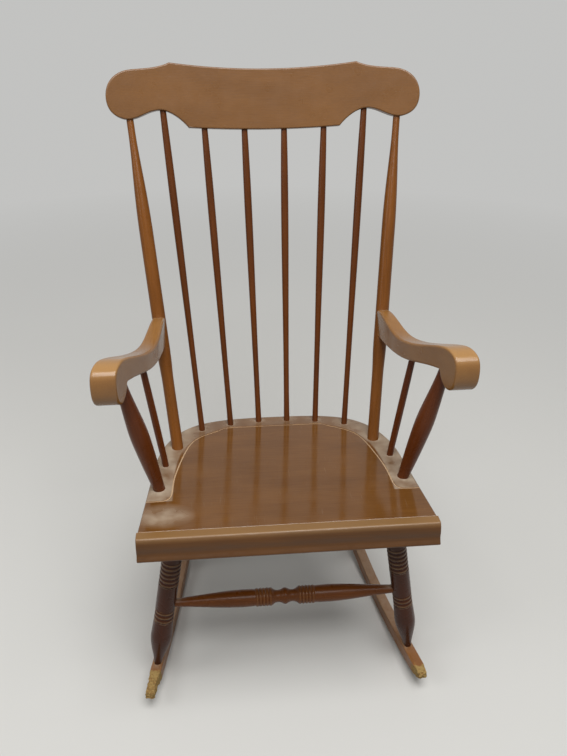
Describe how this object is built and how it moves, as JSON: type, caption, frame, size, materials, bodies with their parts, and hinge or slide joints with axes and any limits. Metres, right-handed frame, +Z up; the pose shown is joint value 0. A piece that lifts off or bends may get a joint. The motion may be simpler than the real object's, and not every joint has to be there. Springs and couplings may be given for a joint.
{
  "type": "rocking chair",
  "caption": "High-backed wooden rocking chair: plank seat, spindle back under a shaped crest rail, scrolled arms, turned legs and curved rockers.",
  "frame": {"origin": "on the floor, midway across the chair and midway between its front and its back, with the chair at rest", "axes": "+Z up, the sitter faces -Y, and the sitter's left hand is on +X"},
  "size_m": [0.6192, 0.7037, 1.0972],
  "materials": {
    "seat_wood": "glossy stained lacquer",
    "rail_wood": "satin lacquer",
    "back_wood": "satin lacquer",
    "turned_wood": "satin stained lacquer",
    "rocker_wood": "worn lacquer",
    "screw_steel": "plain"
  },
  "bodies": {
    "root": {"seat_plank": "seat_wood", "seat_front_roll": "seat_wood", "crest_rail": "rail_wood", "arm_left": "rail_wood", "arm_right": "rail_wood", "back_post_left": "back_wood", "back_post_right": "back_wood", "back_spindle_inner_left": "back_wood", "back_spindle_inner_right": "back_wood", "back_spindle_middle_left": "back_wood", "back_spindle_middle_right": "back_wood", "back_spindle_outer_left": "back_wood", "back_spindle_outer_right": "back_wood", "arm_post_left": "turned_wood", "arm_post_right": "turned_wood", "arm_spindle_left": "turned_wood", "arm_spindle_right": "turned_wood", "front_leg_left": "turned_wood", "front_leg_right": "turned_wood", "rear_leg_left": "turned_wood", "rear_leg_right": "turned_wood", "front_stretcher": "turned_wood", "rear_stretcher": "turned_wood", "rocker_left": "rocker_wood", "rocker_right": "rocker_wood", "arm_screws": "screw_steel", "arm_screw_plugs": "back_wood"}
  },
  "joints": []
}
